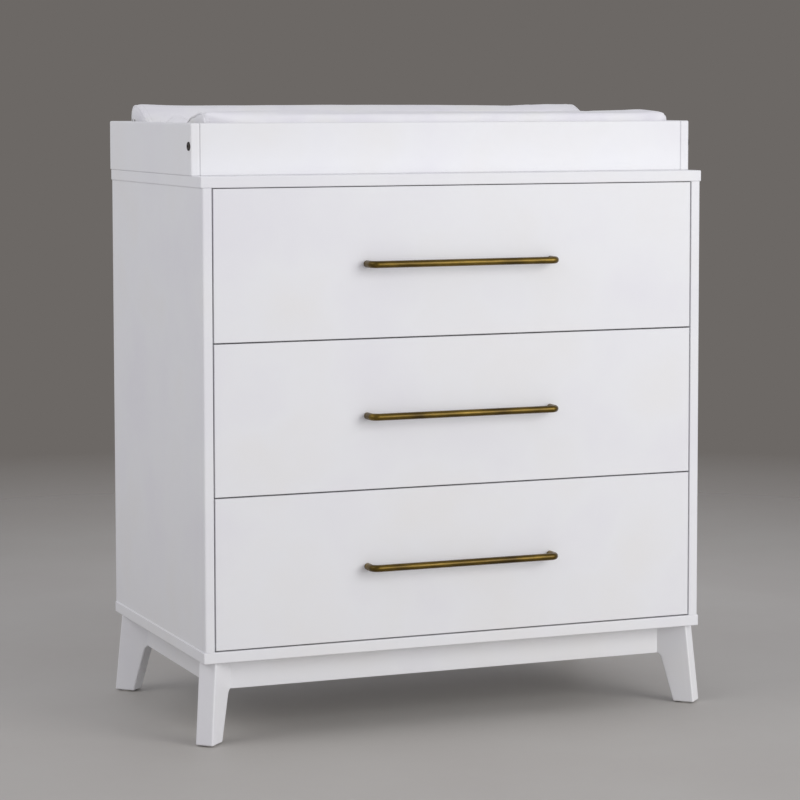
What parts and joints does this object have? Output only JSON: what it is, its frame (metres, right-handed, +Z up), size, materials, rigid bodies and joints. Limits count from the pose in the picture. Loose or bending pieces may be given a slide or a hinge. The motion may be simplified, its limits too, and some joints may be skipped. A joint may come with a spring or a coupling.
{
  "type": "changing table",
  "caption": "Changing table: a dresser with full-width drawers and bar pulls on splayed turned-out legs, topped by a removable frame that holds a contoured changing pad.",
  "frame": {"origin": "on the floor, under the middle of the whole outline (bounding box bottom centre)", "axes": "+Z up, +X to the right as seen from the front, drawer fronts face -Y"},
  "size_m": [0.888, 0.5328, 1.0019],
  "materials": {
    "white_paint": "white satin lacquer sprayed over MDF and solid wood",
    "drawer_board": "white melamine-faced board",
    "hardboard": "thin fibreboard, white on the face",
    "brass": "brushed antique brass",
    "zinc_steel": "bright zinc-plated steel",
    "cast_zinc": "plain die-cast zinc",
    "dark_steel": "black-bronze plated steel",
    "beech": "plain fluted beech",
    "white_nylon": "moulded nylon",
    "pad_cover": "white quilted vinyl-coated cloth over foam",
    "webbing": "woven polyester webbing",
    "buckle_plastic": "moulded acetal"
  },
  "bodies": {
    "cabinet": {"top_panel": "white_paint", "bottom_panel": "white_paint", "side_panel_left": "white_paint", "side_panel_right": "white_paint", "drawer_rails": "white_paint", "back_rail": "white_paint", "front_left_leg": "white_paint", "front_right_leg": "white_paint", "back_left_leg": "white_paint", "back_right_leg": "white_paint", "front_apron": "white_paint", "back_apron": "white_paint", "side_aprons": "white_paint", "topper_front": "white_paint", "topper_back": "white_paint", "topper_left": "white_paint", "topper_right": "white_paint", "back_panel": "hardboard", "slide_cabinet_members": "zinc_steel", "plate_screws": "zinc_steel", "base_screws": "zinc_steel", "cam_bolts": "zinc_steel", "corner_plates": "zinc_steel", "hanger_bolts": "zinc_steel", "hanger_nuts": "zinc_steel", "back_nails": "zinc_steel", "topper_plates": "zinc_steel", "topper_barrel_nuts": "zinc_steel", "cam_locks": "cast_zinc", "topper_bolts": "dark_steel", "dowels": "beech", "foot_glides": "white_nylon", "strap_anchors": "white_nylon"},
    "drawer_bottom": {"drawer_front_bottom": "white_paint", "box_sides_bottom": "drawer_board", "box_ends_bottom": "drawer_board", "box_floor_bottom": "hardboard", "pull_bottom": "brass", "drawer_screws_bottom": "zinc_steel", "slide_drawer_members_bottom": "zinc_steel"},
    "slides_bottom": {"slide_middle_members_bottom": "zinc_steel"},
    "drawer_middle": {"drawer_front_middle": "white_paint", "box_sides_middle": "drawer_board", "box_ends_middle": "drawer_board", "box_floor_middle": "hardboard", "pull_middle": "brass", "drawer_screws_middle": "zinc_steel", "slide_drawer_members_middle": "zinc_steel"},
    "slides_middle": {"slide_middle_members_middle": "zinc_steel"},
    "drawer_top": {"drawer_front_top": "white_paint", "box_sides_top": "drawer_board", "box_ends_top": "drawer_board", "box_floor_top": "hardboard", "pull_top": "brass", "drawer_screws_top": "zinc_steel", "slide_drawer_members_top": "zinc_steel"},
    "slides_top": {"slide_middle_members_top": "zinc_steel"},
    "pad": {"changing_pad": "pad_cover", "safety_belt": "webbing", "safety_buckle": "buckle_plastic"}
  },
  "joints": [
    {"name": "drawer_bottom_slide", "type": "slide", "parent": "cabinet", "child": "drawer_bottom", "axis": [0, -1, 0], "range_m": [0, 0.38]},
    {"name": "slides_bottom_travel", "type": "slide", "parent": "cabinet", "child": "slides_bottom", "axis": [0, -1, 0], "range_m": [0, 0.19]},
    {"name": "drawer_middle_slide", "type": "slide", "parent": "cabinet", "child": "drawer_middle", "axis": [0, -1, 0], "range_m": [0, 0.38]},
    {"name": "slides_middle_travel", "type": "slide", "parent": "cabinet", "child": "slides_middle", "axis": [0, -1, 0], "range_m": [0, 0.19]},
    {"name": "drawer_top_slide", "type": "slide", "parent": "cabinet", "child": "drawer_top", "axis": [0, -1, 0], "range_m": [0, 0.38]},
    {"name": "slides_top_travel", "type": "slide", "parent": "cabinet", "child": "slides_top", "axis": [0, -1, 0], "range_m": [0, 0.19]},
    {"name": "pad_lift", "type": "slide", "parent": "cabinet", "child": "pad", "axis": [0, 0, 1], "range_m": [0, 0.15]}
  ],
  "couplings": [
    {"joint": "slides_bottom_travel", "follows": "drawer_bottom_slide", "ratio": 0.5},
    {"joint": "slides_middle_travel", "follows": "drawer_middle_slide", "ratio": 0.5},
    {"joint": "slides_top_travel", "follows": "drawer_top_slide", "ratio": 0.5}
  ]
}
